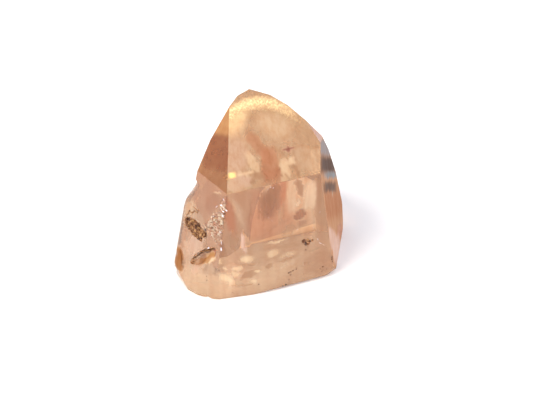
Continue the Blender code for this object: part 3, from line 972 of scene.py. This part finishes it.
drusy_quartz, tree, shader = new_material("drusy_quartz_points")
here = add(tree, "ShaderNodeTexCoord").outputs["Object"]
cloud = add(tree, "ShaderNodeTexNoise", {
    "Vector": here, "Scale": grains_of(CLOUD_SIZE), "Detail": 2.0})
sugar = add(tree, "ShaderNodeValToRGB", {"Fac": cloud.outputs["Fac"]},
            stops=((0.4, "D8A080"), (0.6, "FFECD2")))
tree.links.new(sugar.outputs[0], shader.inputs["Base Color"])
shader.inputs["Roughness"].default_value = 0.12
shader.inputs["IOR"].default_value = QUARTZ_IOR
shader.inputs["Transmission Weight"].default_value = 0.55
print("drusy nodes:", len(tree.nodes))

# %% [markdown]
# Each crystal is a squat six-sided point with a blunt top, sunk in the face and leaning
# by chance. Two chances that add up to less than one, taken along two sides of a
# triangle, spread them evenly over it.

# %% Drusy points
DRUSY_SEED, DRUSY_COUNT = 11, 230
DRUSY_CORNERS = [Vector(pair) for pair in ((-0.3, -0.9), (-5.4, -10.0), (-1.2, -13.6))]
DRUSY_SIZES = (0.16, 0.42)
DRUSY_SUNK = 0.05
DRUSY_BLUNT, DRUSY_HEIGHT = 0.25, 1.3        # as shares of its size
DRUSY_LEAN = 28

chance = random.Random(DRUSY_SEED)
druse = []
for number in range(DRUSY_COUNT):
    first, second = chance.random(), chance.random()
    if first + second > 1:
        first, second = 1 - first, 1 - second
    spot = DRUSY_CORNERS[0] + (first * (DRUSY_CORNERS[1] - DRUSY_CORNERS[0])
                               + second * (DRUSY_CORNERS[2] - DRUSY_CORNERS[0]))
    size = chance.uniform(*DRUSY_SIZES) * MM
    bpy.ops.object.select_all(action="DESELECT")
    bpy.ops.mesh.primitive_cone_add(vertices=6, radius1=size, radius2=size * DRUSY_BLUNT,
                                    depth=size * DRUSY_HEIGHT)
    point = bpy.context.object
    lean = Matrix.Rotation(math.radians(chance.gauss(0, DRUSY_LEAN)), 4, "X")
    roll = Matrix.Rotation(math.radians(chance.uniform(0, 360)), 4, "Z")
    point.matrix_world = (Matrix.Translation(on_face("left", spot.x, spot.y, DRUSY_SUNK))
                          @ facing(*FACES["left"][:2]) @ roll @ lean)
    bpy.ops.object.transform_apply()
    druse.append(point)
join(druse, "drusy_points", drusy_quartz)

# %% [markdown]
# ## The iron crust
# The crust in the pit is limonite: an earthy, rusty mix of iron minerals. Its CAD solid
# keeps its shape and gets a dull, lumpy finish from near black to gold. One noise gives
# both the colour and the bump, so that the high lumps are the pale ones.

# %% Crust finish
LUMP_SIZE, LUMP_HEIGHT = 0.6667, 0.6

limonite, tree, shader = new_material("limonite_earthy_crust")
here = add(tree, "ShaderNodeTexCoord").outputs["Object"]
lumps = add(tree, "ShaderNodeTexNoise", {
    "Vector": here, "Scale": grains_of(LUMP_SIZE), "Detail": 4.0, "Roughness": 0.6,
    "Distortion": 0.6})
rust = add(tree, "ShaderNodeValToRGB", {"Fac": lumps.outputs["Fac"]},
           stops=((0.37, "47281A"), (0.5, "8A5B38"), (0.66, "D0A470")))
tree.links.new(rust.outputs[0], shader.inputs["Base Color"])
rough = add(tree, "ShaderNodeBump", {
    "Height": lumps.outputs["Fac"], "Strength": 1.0, "Distance": LUMP_HEIGHT * MM})
tree.links.new(rough.outputs[0], shader.inputs["Normal"])
shader.inputs["Roughness"].default_value = 0.55
crust = frame["nodes"]["iron_crust"]
crust.data.materials.clear()
crust.data.materials.append(limonite)
print("crust faces:", len(crust.data.polygons))

# %% [markdown]
# Loose grains of the same earth lie on the crust and fill cracks. A displaced surface
# gives lumps, but not grains that stand free, so each is a small ball whose points a
# noise pushes in and out. A grain on the crystal sits on its skin, or is sunk in it.


# %% Grains of iron earth
def grain(place, size, squash=0.8):
    bpy.ops.object.select_all(action="DESELECT")
    bpy.ops.mesh.primitive_ico_sphere_add(subdivisions=2, radius=size * MM, location=place)
    made = bpy.context.object
    for vert in made.data.vertices:
        vert.co *= 1 + 0.45 * noise.noise(vert.co / MM * 1.9 / size + Vector(place) / MM)
        vert.co.z *= squash
    bpy.ops.object.transform_apply()
    return made


def on_skin(place, sunk=0.0):
    found, near, out, index = quartz.closest_point_on_mesh(place)
    return near - out * sunk * MM


print("skin nearest the pit, mm:",
      [round(part / MM, 1) for part in on_skin(on_face("swelling", -10, -10))])

# %% [markdown]
# Grains are scattered over the side of the crust that faces out of the pit. Then cracks
# are strung with them like beads: a crooked one above the pit, and three stretches along
# the upper edge of the notch.

# %% Crust grains
CRUST_SEED, CRUST_COUNT = 4, 110
CRUST_OUT, CRUST_OPEN = (-37, 8), 0.3        # direction of the pit's mouth, and how alike
CRUST_SIZES, CRUST_SPREAD = (0.12, 0.36), 0.15
BEAD_PITCH, BEAD_SPREAD = 1.1, 0.3           # as shares of a bead's size
CRACKS = (  # grain size, then points across, up and below the swelling's plane
    (0.13, (-10.0, -9.7, 0.0), (-9.4, -9.0, 0.0), (-9.2, -8.2, 0.0), (-8.5, -8.5, 0.0),
     (-7.9, -7.6, 0.0), (-7.2, -7.9, 0.0), (-7.0, -7.0, 0.0)),
    (0.12, (-8.3, -19.8, 0.9), (-7.1, -18.4, 1.1), (-5.7, -16.7, 1.1)),
    (0.22, (-5.7, -16.7, 1.1), (-5.0, -16.5, 1.2), (-4.3, -15.8, 1.1)),
    (0.15, (-4.3, -15.8, 1.1), (-3.2, -14.8, 0.6), (-2.3, -13.6, 0.2)))

chance = random.Random(CRUST_SEED)
open_faces = [face for face in crust.data.polygons
              if face.normal.dot(out_of(*CRUST_OUT)) > CRUST_OPEN]
grains = []
for number in range(CRUST_COUNT):
    face = chance.choice(open_faces)
    spread = Vector([chance.gauss(0, CRUST_SPREAD) for part in range(3)]) * MM
    grains.append(grain(crust.matrix_world @ face.center + spread, chance.uniform(*CRUST_SIZES)))
for size, *bends in CRACKS:
    for start, end in zip(map(Vector, bends), map(Vector, bends[1:])):
        beads = max(2, round((end - start).length / (size * BEAD_PITCH)))
        for number in range(beads):
            spot = start.lerp(end, number / beads)
            spot += Vector([chance.gauss(0, size * BEAD_SPREAD) for part in range(3)])
            grains.append(grain(on_skin(on_face("swelling", *spot)),
                                size * chance.uniform(0.6, 1.3)))
join(grains, "crust_grains", limonite)

# %% [markdown]
# ## Dark specks
# A few pin holes low on the crystal and near its very tip are filled with iron earth,
# darker than the crust, as goethite is. So their finish is a copy of the crust's with
# darker colours. The grains are sunk in the skin, and only their tops show.

# %% Specks
SPECK_SUNK = 0.7                 # as a share of its size
SPECKS = (  # face, across, up, size
    ("front", 16.0, -16.0, 0.45), ("front", 16.1, -16.7, 0.35), ("front", 17.0, -16.2, 0.2),
    ("front", 15.8, -18.3, 0.16), ("front", 21.6, -22.0, 0.2), ("front", 21.7, -22.6, 0.22),
    ("front", 21.8, -23.2, 0.16), ("front", 19.6, -24.0, 0.18), ("front", 19.0, -24.4, 0.13),
    ("front", 12.2, -23.3, 0.22), ("front", 12.6, -23.2, 0.2), ("front", 13.1, -23.0, 0.18),
    ("front", 13.8, -22.8, 0.15), ("front", 12.2, -25.2, 0.14), ("front", 15.4, -24.6, 0.1),
    ("left", -4.3, -22.0, 0.13), ("left", -4.2, -23.0, 0.15), ("front", 5.8, -24.6, 0.15),
    ("front", 12.6, -24.0, 0.16), ("front", 19.4, -25.3, 0.14), ("front", 20.4, -24.9, 0.12),
    ("tip", 8.3, 17.5, 0.08), ("tip", 7.7, 17.4, 0.1), ("tip", 9.6, 17.0, 0.06),
    ("front", 11.6, -26.4, 0.25), ("front", 10.9, -26.5, 0.18), ("front", 0.4, -25.9, 0.14))

goethite = limonite.copy()
goethite.name = "goethite_dark_specks"
dark_ramp = [node for node in goethite.node_tree.nodes if node.type == "VALTORGB"][0].color_ramp
for element, colour in zip(dark_ramp.elements, ("341A0E", "5A3420", "8A5A38")):
    element.color = linear(colour)
join([grain(on_skin(on_face(face, across, up), SPECK_SUNK * size), size, 1.0)
      for face, across, up, size in SPECKS], "dark_specks", goethite)

# %% [markdown]
# ## Chips
# The front is bruised at its right edge, its top edge and its middle: where the glass
# has sprung, a thin shell of air flashes. Pale flakes as on the steps make these too.

# %% Chip glints
CHIPS = (  # across and up the front face, half length, half width, turn
    (18.3, -16.3, 0.6, 0.04, -70), (19.0, -17.6, 0.6, 0.07, -45), (19.6, -18.1, 0.25, 0.06, -30),
    (17.2, -12.9, 0.3, 0.03, 75), (18.6, -9.4, 0.15, 0.05, 70), (16.9, -15.0, 0.15, 0.04, -30),
    (13.9, -12.4, 0.3, 0.05, 15), (8.5, -0.6, 0.2, 0.08, 5), (9.0, -0.9, 0.15, 0.07, 40),
    (7.9, -0.9, 0.15, 0.05, 20), (8.0, -7.8, 0.5, 0.03, -50), (8.7, -8.7, 0.4, 0.03, -54))

join([flake_on("front", across, up, (length, width), turn, PALE_FACING)
      for across, up, length, width, turn in CHIPS], "chip_glints", pale_leaf)
